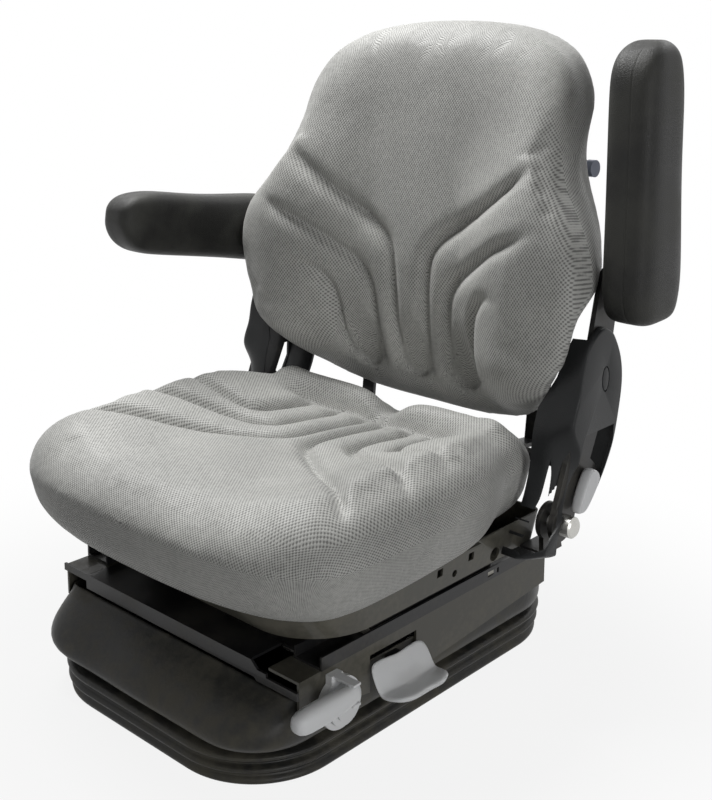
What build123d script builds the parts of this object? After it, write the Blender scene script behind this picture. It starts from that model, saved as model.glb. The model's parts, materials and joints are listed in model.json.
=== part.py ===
from build123d import *
import os
from math import asin, cos, degrees, radians, sin

# Tractor suspension seat. Millimetres, +Z up, the seat faces -Y, the sitter's left is +X.
# The origin is the centre of the base plate's underside.
os.makedirs("parts", exist_ok=True)

# Clearances
soft_gap = 0.3          # soft pieces and moulded covers to their neighbours
run_gap = 0.05          # radial running fit of a shaft in its hole
slide_gap = 1.0         # rollers in their tracks

# Base plate and gaiter
base_width = 344.0
base_corner = 96.0
sheet = 3.0
rim_height = 8.0
bolt_spacing_x = 200.0
bolt_spacing_y = 280.0
bolt_hole_r = 5.5
rubber = 2.5
ridge_depth = 7.0
bead_height = 6.0

# Suspension frame
frame_width = 380.0
frame_top = 114.5
skirt_rear_z = 74.0
skirt_front_z = 56.0
flange_width = 42.0
lip_height = 8.0
lip_drop = 12.0
lip_drop_x = 126.0

# Scissor
arm_length = 300.0
arm_sheet = 6.0
arm_end_r = 11.0
arm_mid_r = 17.0
outer_arm_x = 138.0
inner_arm_x = 126.0
lever_behind_roller = 71.85
crank_before_roller = 14.15
frame_overhang = 55.0
base_front_lip = 41.0
base_rear_lip = 57.0
anchor_gap = 28.0
roller_r = 11.0
roller_width = 12.0
roller_x = 148.0
axle_r = 6.0
bolt_slack = 1.0
spring_r = 10.0

# Rails
rail_length = 356.0
rail_front = 172.0
rail_x = 172.0
rail_width = 38.0
rail_height = 14.0
rail_wall = 2.5
upper_rail_width = 24.0
shoe_length = 46.0

# Seat pan
pan_width = 428.0
pan_z = 149.0
pan_height = 36.0
pan_front = 226.0
pan_rear = 162.0
pan_corner = 84.0
pan_rear_corner = 14.0
pan_wall = 2.5
rim_width = 6.0
rim_rear = 40.0

# Cushions
cushion_width = 490.0
cushion_front = 268.0
cushion_rear = 178.0
cushion_waist = 418.0
cushion_top = 300.0
cushion_dish = 34.0
# Rows of the seat's top: place along the seat, fall of the middle and rise of the side rolls
seat_rows = ((-275, 8, 12), (-215, 0, 20), (-100, 2, 28), (0, 8, 34), (80, 15, 38), (112, 20, 38), (140, 4, 20),
             (188, 6, 10))
# The backrest's outline as shares of its half width and of its height, at its widest and at its rear
back_front_edge = ((0.5, 0.006), (0.717, 0.048), (0.841, 0.111), (0.95, 0.205), (1.0, 0.373), (0.965, 0.478),
                   (0.876, 0.572), (0.818, 0.671), (0.795, 0.813), (0.709, 0.897), (0.51, 0.964))
back_rear_edge = ((0.36, 0.006), (0.52, 0.075), (0.61, 0.143), (0.7, 0.235), (0.795, 0.371), (0.833, 0.465),
                  (0.76, 0.604), (0.705, 0.692), (0.685, 0.83), (0.645, 0.906), (0.45, 0.969))
back_width = 516.0
back_bottom = 262.0
back_top = 739.0
back_face_y = 150.0
back_waist_y = 154.0
back_rear_y = 232.0
shell_depth = 22.0
shell_wall = 3.5
shell_inset = 9.0
shell_taper = 8.0
upright_x = 135.0
upright_width = 20.0
upright_sheet = 5.0
tube_r = 7.0
tube_y = 192.0
tube_z = 232.0
bolster_depth = 56.0

# Recliner, covers and arms
pivot_y = 136.0
pivot_z = 187.0
recline = 6.0
pivot_r = 8.0
lever_pivot_y = 154.0
lever_pivot_z = 208.0
bracket_sheet = 6.0
bracket_x = 236.0
bracket_disc_r = 21.0
side_plate_x = 251.0
cover_x = 215.5
cover_width = 49.0
cover_wall = 3.0
arm_pivot_y = 217.0
arm_pivot_z = 443.0
# The side cover's outline and its open area, as places from the recliner's pivot
cover_front = ((-54, -29), (-42, -11), (-30, 5), (-16, 25), (-6, 55), (-3, 79), (1, 103), (14, 139), (24, 169),
               (36, 197))
cover_head = ((60, 212), (86, 199), (101, 173))
cover_rear = ((105, 143), (100, 109), (90, 75), (76, 49), (60, 27))
cover_foot = ((34, -7), (14, -33), (-24, -35))
cover_opening = ((-24, -37), (-20, -11), (-14, 5), (-2, 27), (11, 53), (22, 75), (30, 96), (87, 96), (86, 76),
                 (72, 51), (58, 30), (80, 30), (80, -37))
pad_length = 300.0
pad_tail = 35.0
pad_width = 60.0
pad_height = 85.0
pad_drop = 4.0
pad_x = 265.5
pad_lift = 8.6
pad_round = 9.0

# Controls
crank_z = 76.0
hub_r = 27.0
hub_thick = 18.0
pin_before_crank = 6.0
lever_above_crank = 14.0
spindle_r = 5.0
grip_length = 90.0
grip_r = 11.0
grip_eye_r = 7.0
grip_eye_h = 9.0
grip_pin_r = 2.5
grip_lift = 21.0
paddle_width = 88.0
paddle_reach = 46.0
paddle_wall = 5.0
lever_pin_x = 158.0
lever_pin_r = 4.0
knob_x = 181.8
knob_z = 572.0
knob_r = 10.0

# Places that follow from the sizes above
half_frame = frame_width / 2
rear_pivot_y = arm_length / 2
frame_length = arm_length + 2 * frame_overhang
half_length = frame_length / 2
base_front = half_length + base_front_lip
base_rear = half_length + base_rear_lip
anchor_y = rear_pivot_y - anchor_gap
low_z = sheet + slide_gap + roller_r
high_z = frame_top - sheet - slide_gap - roller_r
lever_z = crank_z + lever_above_crank
grip_x = half_frame + soft_gap + hub_thick + soft_gap + grip_r
arm_rise = high_z - low_z
arm_tilt = degrees(asin(arm_rise / arm_length))
roller_y = rear_pivot_y - arm_length * cos(radians(arm_tilt))
mid_y = rear_pivot_y - arm_length / 2 * cos(radians(arm_tilt))
crank_y = roller_y - crank_before_roller
paddle_y = roller_y + lever_behind_roller
grip_pin_y = crank_y - pin_before_crank
mid_z = (low_z + high_z) / 2
tube_y_upright = pivot_y + (tube_y - pivot_y) * cos(radians(recline)) - (tube_z - pivot_z) * sin(radians(recline))
tube_z_upright = pivot_z + (tube_y - pivot_y) * sin(radians(recline)) + (tube_z - pivot_z) * cos(radians(recline))


def block(x0, x1, y0, y1, z0, z1):
    """A box between two corners."""
    return Pos((x0 + x1) / 2, (y0 + y1) / 2, (z0 + z1) / 2) * Box(x1 - x0, y1 - y0, z1 - z0)


def rod_x(radius, x0, x1, y, z):
    """A round bar along X."""
    return Pos((x0 + x1) / 2, y, z) * Rot(0, 90, 0) * Cylinder(radius, x1 - x0)


def rod_y(radius, y0, y1, x, z):
    """A round bar along Y."""
    return Pos(x, (y0 + y1) / 2, z) * Rot(90, 0, 0) * Cylinder(radius, y1 - y0)


def rod_z(radius, z0, z1, x, y):
    """A round bar along Z."""
    return Pos(x, y, (z0 + z1) / 2) * Cylinder(radius, z1 - z0)


def side_sheet(outline, x0, x1):
    """A flat outline of (y, z) points made solid from x0 to x1."""
    return extrude(Plane.YZ.offset(x0) * make_face(Polyline(*outline, close=True)), x1 - x0)


def section_y(outline, y0, y1):
    """A section of (x, z) points made solid from y0 back to y1."""
    return extrude(Plane.XZ.offset(-y0) * make_face(Polyline(*outline, close=True)), y0 - y1)


def bar(y0, z0, r0, y1, z1, r1, x0, x1):
    """A flat bar with round ends, as a link is cut from sheet."""
    ends = (Pos(y0, z0) * Circle(r0)).edges() + (Pos(y1, z1) * Circle(r1)).edges()
    return extrude(Plane.YZ.offset(x0) * make_hull(ends), x1 - x0)


def outline_at(width, front, rear, corner, z, rear_corner=None):
    """A rounded rectangle from y = -front to y = rear at height z."""
    shape = Pos(0, (rear - front) / 2) * Rectangle(width, front + rear)
    ends = shape.vertices().group_by(Axis.Y)
    shape = fillet(ends[0], corner)
    ends = shape.vertices().group_by(Axis.Y)
    return Pos(0, 0, z) * fillet(ends[-1], rear_corner or corner)


def plate(width, front, rear, corner, z0, z1, rear_corner=None):
    """A rounded rectangle made solid between two heights."""
    return extrude(outline_at(width, front, rear, corner, z0, rear_corner), z1 - z0)


def ring_stack(rings):
    """Joins rounded rectangles at rising heights by straight walls."""
    return loft([outline_at(*ring) for ring in rings], ruled=True)


def both(shape):
    """A piece and its mirror image."""
    return Compound([shape, shape.mirror(Plane.YZ)])


def lean(shape):
    """Leans a backrest piece back about the recliner's pivot."""
    return Pos(0, pivot_y, pivot_z) * Rot(-recline, 0, 0) * Pos(0, -pivot_y, -pivot_z) * shape


def save(name, shape):
    """Writes one node."""
    export_step(shape, f"parts/{name}.step")


def save_pair(name, shape):
    """Writes a piece of the sitter's left side and its mirror image on the right."""
    save(f"{name}_left", shape)
    save(f"{name}_right", shape.mirror(Plane.YZ))


# Base plate: a pressed tray with four bolt holes
def base_plate():
    tray = plate(base_width, base_front, base_rear, base_corner, 0, rim_height)
    tray -= plate(
        base_width - 2 * sheet, base_front - sheet, base_rear - sheet, base_corner - sheet,
        sheet, rim_height,
    )
    for x in (-bolt_spacing_x / 2, bolt_spacing_x / 2):
        for y in (-bolt_spacing_y / 2, bolt_spacing_y / 2):
            tray -= rod_z(bolt_hole_r, 0, sheet, x, y)
    return tray


# Gaiter: a rubber bellows between the base plate's rim and the suspension frame
def gaiter_rings(inset):
    seat_width = base_width + 2 * (soft_gap + rubber)
    seat_front = base_front + soft_gap + rubber
    seat_rear = base_rear + soft_gap + rubber
    top_width = frame_width - 2 * (sheet + soft_gap)
    top_half = half_length - sheet - soft_gap
    low = 0.6
    out = ridge_depth
    rings = [
        (seat_width + out, seat_front + out / 2, seat_rear + out / 2, base_corner, low),
        (seat_width + out, seat_front + out / 2, seat_rear + out / 2, base_corner, low + bead_height),
        (seat_width, seat_front, seat_rear, base_corner, 10.0),
        (seat_width + 2 * out, seat_front + out, seat_rear + out, base_corner, 17.0),
        (seat_width, seat_front, seat_rear, base_corner, 23.0),
        (seat_width + 2.4 * out, seat_front + out, seat_rear + out, base_corner, 31.0),
        (seat_width - 4, seat_front - 6, seat_rear - 6, base_corner - 4, 37.0),
        (seat_width + 3 * out, seat_front + 0.6 * out, seat_rear + 0.6 * out, base_corner - 6, 47.0),
        (top_width, seat_front + 0.4 * out, seat_rear, base_corner - 12, 55.0),
        (top_width, top_half + 38, top_half + 34, 70.0, 66.0),
        (top_width, top_half, top_half, 12.0, frame_top - sheet - 16.5),
    ]
    cut = 2 * inset
    return [(w - cut, f - inset, r - inset, max(c - inset, 6.0), z) for w, f, r, c, z in rings]


def gaiter():
    inner = gaiter_rings(rubber)
    width, front, rear, corner, z = inner[0]
    top = inner[-1]
    inner[0] = (width, front, rear, corner, z - 1)
    inner[-1] = (top[0], top[1], top[2], top[3], top[4] + 1)
    body = ring_stack(gaiter_rings(0)) - ring_stack(inner)
    body -= rod_x(spindle_r + 1, 0, half_frame, crank_y, crank_z)
    return body - block(0, half_frame, paddle_y - 11, paddle_y + 11, lever_z - 6, lever_z + 5)


# Scissor of the suspension
def base_tracks():
    top_z = low_z + roller_r + slide_gap
    front = roller_y - roller_r - 16
    rear = roller_y + 46
    web = block(roller_x + roller_width + 3, roller_x + roller_width + 6, front, rear, sheet, top_z + sheet)
    roof = block(roller_x - 2, roller_x + roller_width + 6, front, rear, top_z, top_z + sheet)
    return both(web + roof)


def pivot_ears(z, foot_z):
    """Ears that carry a fixed pivot, standing from foot_z."""
    x0 = outer_arm_x + arm_sheet + 4
    outline = [
        (rear_pivot_y - 16, foot_z), (rear_pivot_y + 16, foot_z),
        (rear_pivot_y + 8, z + (9 if z > foot_z else -9)),
        (rear_pivot_y - 8, z + (9 if z > foot_z else -9)),
    ]
    ear = side_sheet(outline, x0, x0 + arm_sheet)
    return both(ear - rod_x(axle_r, x0, x0 + arm_sheet, rear_pivot_y, z))


def pivot_shaft(z):
    reach = outer_arm_x + arm_sheet + 4 + arm_sheet + 2
    return rod_x(axle_r, -reach, reach, rear_pivot_y, z)


def scissor_arm(x, rear_z, front_z, mid_hole):
    """One arm: a flat link on the rear pivot, with the axle hole at its front end."""
    arm = bar(rear_pivot_y, rear_z, arm_end_r, mid_y, mid_z, arm_mid_r, x, x + arm_sheet)
    arm += bar(mid_y, mid_z, arm_mid_r, roller_y, front_z, arm_end_r, x, x + arm_sheet)
    arm -= rod_x(axle_r + run_gap, x, x + arm_sheet, rear_pivot_y, rear_z)
    arm -= rod_x(axle_r, x, x + arm_sheet, roller_y, front_z)
    return arm - rod_x(mid_hole, x, x + arm_sheet, mid_y, mid_z)


def cross_tube(x, z):
    """A tube round the rear pivot shaft, between a pair of arms."""
    return rod_x(axle_r + 4, -x, x, rear_pivot_y, z) - rod_x(axle_r + run_gap, -x, x, rear_pivot_y, z)


def scissor_bolts():
    head = rod_x(axle_r + 3, outer_arm_x + arm_sheet, outer_arm_x + arm_sheet + 4, mid_y, mid_z)
    shank = rod_x(axle_r, inner_arm_x - 3, outer_arm_x + arm_sheet, mid_y, mid_z)
    return both(head + shank)


def front_axle(x, z):
    """The axle at the front end of a pair of arms, with journals for its rollers."""
    reach = roller_x + roller_width + 2
    return rod_x(axle_r, -reach, reach, roller_y, z)


def rollers(z):
    wheel = rod_x(roller_r, roller_x, roller_x + roller_width, roller_y, z)
    return both(wheel - rod_x(axle_r + run_gap, roller_x, roller_x + roller_width, roller_y, z))


# Suspension frame: two side members, front and rear members and a deck
def side_member():
    inner = half_frame - sheet
    notch_front = paddle_y - 36
    notch_rear = paddle_y + 36
    notch_z = frame_top - 12
    outline = [
        (-half_length + sheet + 0.5, frame_top), (half_length, frame_top), (half_length, skirt_rear_z),
        (notch_rear, skirt_front_z), (notch_rear, notch_z), (notch_front, notch_z),
        (notch_front, skirt_front_z + 6), (-half_length + sheet + 0.5, skirt_front_z + 22),
    ]
    web = side_sheet(outline, inner, half_frame)
    roof_y = half_length - sheet - 0.5
    roof = block(half_frame - flange_width, inner, -roof_y, roof_y, frame_top - sheet, frame_top)
    track_z = high_z - roller_r - slide_gap
    track_x = roller_x + roller_width + 3
    rear = roller_y + 46
    front = roller_y - roller_r - 16
    track = block(roller_x - 2, track_x + sheet, front, rear, track_z - sheet, track_z)
    track += block(track_x, track_x + sheet, front, rear, track_z, frame_top - sheet)
    return web + roof + track


def front_member():
    """The front lip, which steps down at the sitter's left."""
    y0 = -half_length
    lip_top = frame_top + 2
    low = lip_top - lip_drop
    outline = [
        (-half_frame, lip_top), (lip_drop_x, lip_top), (lip_drop_x + 14, low), (half_frame, low),
        (half_frame, low - lip_height), (lip_drop_x + 8, low - lip_height),
        (lip_drop_x - 6, lip_top - lip_height), (-half_frame, lip_top - lip_height),
    ]
    lip = section_y(outline, y0 + sheet, y0)
    reach = half_frame - flange_width - 0.5
    web = block(-reach, reach, y0, y0 + sheet, frame_top - 15, frame_top - lip_height + 2)
    roof = block(-reach, min(reach, lip_drop_x - 4), y0 + sheet, y0 + 46, frame_top - sheet, frame_top)
    return lip + web + roof


def rear_member():
    y1 = half_length
    reach = half_frame - sheet - 0.3
    web = block(-reach, reach, y1 - sheet + 0.2, y1 - 0.2, frame_top - 18, frame_top)
    inner = half_frame - flange_width - 0.5
    return web + block(-inner, inner, y1 - 46, y1 - sheet + 0.2, frame_top - sheet, frame_top)


def deck():
    inner = half_frame - flange_width - 0.5
    reach = half_length - 46.5
    return block(-inner, inner, -reach, reach, frame_top - sheet, frame_top)


def damper():
    """A telescopic damper: its tube stands on the base and its rod hangs from the deck."""
    foot = sheet
    tube = rod_z(14, foot, foot + 66, 0, 0) - rod_z(11, foot + 3, foot + 66, 0, 0)
    tube += rod_z(14, foot + 60, foot + 66, 0, 0) - rod_z(5 + run_gap, foot + 60, foot + 66, 0, 0)
    rod = rod_z(5, foot + 5, frame_top - sheet, 0, 0) + rod_z(11 - run_gap, foot + 5, foot + 9, 0, 0)
    return tube, rod


def tension_spring(x):
    """A close-wound tension spring from its anchor bar to the upper axle, as a plain barrel."""
    return rod_y(spring_r, roller_y + axle_r + soft_gap, anchor_y - soft_gap, x, high_z - 1)


def spring_anchor():
    """The bar under the deck that holds the rear ends of the springs."""
    return block(-110, 110, anchor_y, anchor_y + 5, high_z - 12, frame_top - sheet)


# Rails
def lower_rail():
    x0 = rail_x - rail_width / 2
    x1 = rail_x + rail_width / 2
    y0 = -rail_front
    y1 = y0 + rail_length
    rail = block(x0, x1, y0, y1, frame_top, frame_top + rail_height)
    rail -= block(x0 + rail_wall, x1 - rail_wall, y0, y1, frame_top + rail_wall, frame_top + rail_height)
    return rail - block(x1 - rail_wall, x1, 92, 112, frame_top + 4, frame_top + 10)


def shoes():
    floor = frame_top + rail_wall + soft_gap
    x0 = rail_x - rail_width / 2 + rail_wall + soft_gap
    x1 = rail_x + rail_width / 2 - rail_wall - soft_gap
    ends = (-rail_front + 78, -rail_front + rail_length - 124)
    pads = [block(x0, x1, y, y + shoe_length, floor, floor + 8) for y in ends]
    return pads + [pad.mirror(Plane.YZ) for pad in pads]


def upper_rail():
    floor = frame_top + rail_wall + soft_gap + 8
    x0 = rail_x - upper_rail_width / 2
    x1 = rail_x + upper_rail_width / 2
    y0 = -rail_front + 78
    y1 = -rail_front + rail_length - 124 + shoe_length
    rail = block(x0, x1, y0, y1, floor, pan_z)
    return rail - block(x0 + rail_wall, x1 - rail_wall, y0, y1, floor, pan_z - rail_wall)


# Seat pan: a pressed dish with a turned-out rim and holes in its sides
def pan_dish(inset, floor):
    """The dish of the pan, inset from its outer wall and cut off at the given floor."""
    top = pan_z + pan_height
    draft = 8.0
    return ring_stack([
        (pan_width - draft - 2 * inset, pan_front - 26 - inset, pan_rear - draft - inset,
         pan_corner - 6 - inset, floor, pan_rear_corner - inset),
        (pan_width - 2 * inset, pan_front - inset, pan_rear - inset, pan_corner - inset, top,
         pan_rear_corner - inset),
    ])


def seat_pan():
    top = pan_z + pan_height
    outer = pan_dish(0, pan_z)
    hollow = pan_dish(pan_wall, pan_z + pan_wall)
    rim = plate(
        pan_width + 2 * rim_width, pan_front + rim_width, pan_rear + rim_width,
        pan_corner + rim_width, top - pan_wall, top,
    )
    rim -= block(-pan_width, pan_width, rim_rear, pan_width, pan_z, top)
    pan = outer + rim - hollow
    wall = pan_width / 2
    for y, z, size in ((-24, 165, 9), (28, 166, 9)):
        pan -= block(-wall, wall, y, y + size, z, z + size)
    pan -= rod_x(4, -wall, wall, 6, 160)
    return pan - rod_x(8, -wall, wall, 76, 158)


# Seat cushion
def cushion_outline(grow):
    half = cushion_width / 2 + grow
    waist = cushion_waist / 2 + min(grow, 0)
    front = cushion_front + grow
    rear = cushion_rear + grow
    right = [
        (half * 0.46, -front + 6), (half * 0.83, -front + 27), (half * 0.98, -front + 42), (half + 4, -front + 68),
        (half + 2, -60), (half - 4, 20), (waist + 8, 72), (waist, 118), (waist - 14, rear - 22),
        (waist * 0.62, rear),
    ]
    left = [(-x, y) for x, y in reversed(right)]
    return [(0, -front)] + right + [(0, rear - 6)] + left


def seat_top():
    """Everything under the seat's upper surface: a dish that falls to the rear, side rolls and lobes."""
    half = cushion_width / 2
    sections = []
    for y, fall, rise in seat_rows:
        centre = cushion_top - cushion_dish - fall
        side = [(half * 0.4, centre), (half * 0.64, centre + rise * 0.6), (half * 0.84, centre + rise),
                (half + 12, centre + rise - 6), (half + 12, pan_z)]
        points = [(-x, z) for x, z in reversed(side)] + [(0, centre)] + side
        sections.append(Plane.XZ.offset(-y) * make_face(Polyline(*points, close=True)))
    return loft(sections, ruled=True)


def seat_cushion():
    bottom = pan_z + pan_height + soft_gap
    levels = ((bottom, -24), (bottom + 26, -3), (bottom + 48, 0), (bottom + 72, -5), (cushion_top - 10, -18),
              (cushion_top, -34))
    faces = [Plane.XY.offset(z) * make_face(Spline(*cushion_outline(g), periodic=True)) for z, g in levels]
    body = loft(faces, ruled=True) & seat_top()
    valley = [(-30, cushion_top), (0, cushion_top - 56), (30, cushion_top)]
    body -= section_y(valley, cushion_rear + 20, 118)
    plug = pan_dish(pan_wall + 1, pan_z + pan_wall + soft_gap)
    plug += plate(pan_width - 60, pan_front - 30, pan_rear - 30, pan_corner - 30, bottom - 4, bottom + 1)
    return body + plug


# Recliner and its covers
def recliner_bracket():
    """The seat's own half of the recliner: a disc on a neck from the pan's side."""
    x1 = bracket_x + bracket_sheet
    neck = side_sheet([(pivot_y - 12, pan_z), (pivot_y + 24, pan_z), (pivot_y + 14, pivot_z),
                       (pivot_y - 14, pivot_z)], bracket_x, x1)
    foot = block(pan_width / 2 - 3.4, bracket_x, pivot_y - 12, pivot_y + 24, pan_z, pan_z + 4)
    ear = neck + foot + rod_x(bracket_disc_r, bracket_x, x1, pivot_y, pivot_z)
    return ear - rod_x(pivot_r, bracket_x, x1, pivot_y, pivot_z)


def pivot_bolts():
    shank = rod_x(pivot_r, bracket_x, side_plate_x + bracket_sheet + soft_gap, pivot_y, pivot_z)
    x0 = side_plate_x + bracket_sheet + soft_gap
    head = rod_x(12, x0, x0 + 16, pivot_y, pivot_z)
    head = chamfer(head.edges().group_by(Axis.X)[-1], 2)
    return both(shank + head)


def side_plate():
    """The steel plate that carries the backrest on the pivot and ends at the armrest's pivot."""
    x0 = side_plate_x
    x1 = x0 + bracket_sheet
    plate_form = bar(pivot_y, pivot_z, 20, pivot_y + 50, 300, 24, x0, x1)
    plate_form += bar(pivot_y + 50, 300, 24, arm_pivot_y, arm_pivot_z, 20, x0, x1)
    plate_form += bar(pivot_y + 10, pivot_z + 4, 14, lever_pivot_y, lever_pivot_z, 11, x0, x1)
    plate_form += bar(pivot_y + 24, pivot_z + 60, 20, tube_y, tube_z, 10, x0, x1)
    plate_form -= rod_x(pivot_r + run_gap, x0, x1, pivot_y, pivot_z)
    return plate_form - rod_x(pivot_r, x0, x1, arm_pivot_y, arm_pivot_z)


def from_pivot(points):
    """Places given from the recliner's pivot, as places along Y and Z."""
    return [(pivot_y + y, pivot_z + z) for y, z in points]


def cover_face():
    return make_face(Polyline(*from_pivot(cover_front + cover_head + cover_rear + cover_foot), close=True))


def cover_space():
    """The room that the foam leaves for the cover, up to the slope on the cover's inner side."""
    x0 = cover_x - soft_gap
    room = extrude(Plane.YZ.offset(x0) * offset(cover_face(), soft_gap), cover_width + 2 * soft_gap)
    slope = [(x0 - 1, pivot_z + 119), (x0 + 16, pivot_z + 158), (x0 + 26, pivot_z + 218), (x0 - 1, pivot_z + 218)]
    return room - section_y(slope, pivot_y + 124, pivot_y - 56)


def cover_shell():
    """The moulded cover before its notch for the cap: open inward, round the bolt and at the rear."""
    x0 = cover_x
    x1 = x0 + cover_width
    face = cover_face()
    outer = extrude(Plane.YZ.offset(x0) * face, cover_width)
    outer = chamfer(outer.faces().sort_by(Axis.X)[-1].edges(), 2.4)
    outer -= extrude(Plane.YZ.offset(x0) * offset(face, -cover_wall), cover_width - cover_wall)
    outer -= side_sheet(from_pivot(cover_opening), x0, x1)
    slope = [(x0 - 1, pivot_z + 119), (x0 + 16, pivot_z + 158), (x0 + 26, pivot_z + 218), (x0 - 1, pivot_z + 218)]
    outer -= section_y(slope, pivot_y + 124, pivot_y - 56)
    outer -= block(x0, side_plate_x + bracket_sheet + 1, pivot_y + 38, pivot_y + 102, pivot_z + 185, pivot_z + 215)
    boss = rod_x(7, side_plate_x + bracket_sheet + soft_gap, x1 - 1, pivot_y + 58, pivot_z + 156)
    return outer + boss


def cap_region(gap):
    """The corner of the cover's front that its small cap closes."""
    low = pivot_z + 13 - gap
    high = pivot_z + 56 + gap
    return block(cover_x - 1, cover_x + 24 + gap, pivot_y - 76, pivot_y - 8, low, high)


def side_cover():
    return cover_shell() - cap_region(soft_gap + 0.6)


def inner_cap():
    return cover_shell() & cap_region(0)


def recline_lever():
    x0 = side_plate_x + bracket_sheet + soft_gap
    hub = rod_x(8, x0, x0 + 12, lever_pivot_y, lever_pivot_z)
    blade = bar(lever_pivot_y, lever_pivot_z, 8, lever_pivot_y + 20, lever_pivot_z + 24, 12, x0 + 2, x0 + 16)
    return hub + blade


# Backrest
def back_face(edge, grow, y):
    """The backrest's outline from a table of shares, grown by a margin and placed at y."""
    half = back_width / 2
    low = back_bottom - grow
    height = back_top - back_bottom + 2 * grow
    right = [(half * share + grow, low + height * rise) for share, rise in edge]
    left = [(-x, z) for x, z in reversed(right)]
    return Plane.XZ.offset(-y) * make_face(Spline((0, low), *right, (0, low + height), *left, periodic=True))


def back_cushion():
    """The outline through the foam, cut to its plan and side sections with the two side bolsters."""
    front_y = back_face_y - bolster_depth
    widest = back_face(back_front_edge, 0, back_waist_y)
    foam = extrude(widest, back_waist_y - front_y)
    foam += loft([widest, back_face(back_rear_edge, 0, back_rear_y)], ruled=True)
    half = back_width / 2
    edge = [(half * 0.48, back_face_y - 8), (half * 0.73, front_y + 3), (half * 0.845, front_y),
            (half, front_y + 14), (half + 20, front_y + 44), (half + 20, back_rear_y)]
    plan = [(-x, y) for x, y in reversed(edge)] + [(0, back_face_y)] + edge
    foam &= extrude(Pos(0, 0, back_bottom - 20) * make_face(Polyline(*plan, close=True)), back_top - back_bottom + 40)
    low = back_bottom
    high = back_top
    side = [(back_rear_y + 1, low - 2), (back_rear_y - 28, low - 2), (back_rear_y - 46, low + 20),
            (back_rear_y - 74, low + 78), (front_y + 12, low + 128), (front_y, low + 170),
            (front_y + 2, low + 236), (front_y + 30, low + 302), (front_y + 56, low + 366),
            (back_rear_y - 66, high - 50), (back_rear_y - 40, high - 8), (back_rear_y - 24, high + 4),
            (back_rear_y + 1, high + 4)]
    room = cover_space()
    return lean(foam & side_sheet(side, -half - 5, half + 5)) - [room, room.mirror(Plane.YZ)]


def back_shell():
    """The moulded rear shell, which narrows to the rear, with the boss of the lumbar knob."""
    y0 = back_rear_y + soft_gap
    y1 = y0 + shell_depth
    small = -shell_inset - shell_taper
    wall = shell_wall
    shell = loft([back_face(back_rear_edge, -shell_inset, y0), back_face(back_rear_edge, small, y1)], ruled=True)
    shell -= loft([back_face(back_rear_edge, -shell_inset - wall, y0),
                   back_face(back_rear_edge, small - wall, y1 - wall)], ruled=True)
    shell += rod_x(knob_r - 1, knob_x - 24, knob_x - soft_gap, back_rear_y + 12, knob_z)
    return lean(shell - frame_uprights(soft_gap))


def frame_uprights(gap):
    """The two flat uprights, from the cross tube under the foam up the inside of the shell."""
    y1 = back_rear_y + shell_depth - shell_wall
    half = upright_width / 2 + gap
    low = tube_z_upright
    bars = []
    for x in (-upright_x, upright_x):
        bars.append(block(x - half, x + half, y1 - upright_sheet - gap, y1, low, back_top - 90))
        bars.append(block(x - half, x + half, tube_y_upright, y1, low - upright_sheet - gap, low + gap))
    return bars[0] + bars[1] + bars[2] + bars[3]


def back_frame():
    """The welded frame of the backrest: uprights, a head bar and the cross tube between the plates."""
    y1 = back_rear_y + shell_depth - shell_wall
    reach = upright_x + upright_width / 2
    frame = frame_uprights(0) + block(-reach, reach, y1 - upright_sheet, y1, back_top - 110, back_top - 90)
    return lean(frame + rod_x(tube_r, -side_plate_x, side_plate_x, tube_y_upright, tube_z_upright))


def lumbar_knob():
    return lean(rod_x(knob_r, knob_x, knob_x + 9, back_rear_y + 12, knob_z))


# Armrests
def arm_bolts():
    x0 = side_plate_x
    shank = rod_x(pivot_r, x0, pad_x + 30, arm_pivot_y, arm_pivot_z)
    collar = rod_x(13, x0 + bracket_sheet, pad_x - soft_gap, arm_pivot_y, arm_pivot_z)
    return both(shank + collar)


def armrest():
    """A level pad that points forward from its pivot, in the pivot's own frame."""
    front = -(pad_length - pad_tail)
    top = pad_height / 2 - pad_drop
    low = top - pad_height
    outline = [(pad_tail, low + 14), (pad_tail, top - 10), (pad_tail - 12, top), (front + 20, top),
               (front, top - 14), (front, low + 34), (front + 26, low + 18), (front + 120, low + 6),
               (pad_tail - 20, low)]
    pad = side_sheet(outline, pad_x, pad_x + pad_width)
    pad = fillet(pad.edges().filter_by(Plane.YZ), pad_round)
    return pad - rod_x(pivot_r + run_gap, pad_x, pad_x + 31, 0, 0)


def placed_arm(angle):
    return Pos(0, arm_pivot_y, arm_pivot_z) * Rot(angle, 0, 0) * armrest()


# Weight crank
def crank_hub():
    x0 = half_frame + soft_gap
    hub = rod_x(hub_r, x0, x0 + 8, crank_y, crank_z) + rod_x(hub_r - 6, x0 + 8, x0 + 14, crank_y, crank_z)
    hub += rod_x(hub_r - 12, x0 + 14, x0 + 18, crank_y, crank_z)
    hub += rod_x(spindle_r, x0 - 22, x0, crank_y, crank_z)
    z = crank_z + grip_lift
    low = z - grip_eye_h - soft_gap
    high = z + grip_eye_h + soft_gap
    hub += block(x0, x0 + 8, grip_pin_y - 8, grip_pin_y + 8, crank_z, high + 2.4)
    for z0 in (low - 2.4, high):
        hub += block(x0 + 4, grip_x + 5, grip_pin_y - 5, grip_pin_y + 5, z0, z0 + 2.4)
    return hub + rod_z(grip_pin_r, low, high, grip_x, grip_pin_y)


def crank_bearing():
    x0 = roller_x + roller_width + 3 + sheet
    x1 = x0 + 16
    body = block(x0, x1, crank_y - 13, crank_y + 13, crank_z - 10, crank_z + 20)
    return body - rod_x(spindle_r + run_gap, x0, x1, crank_y, crank_z)


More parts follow.
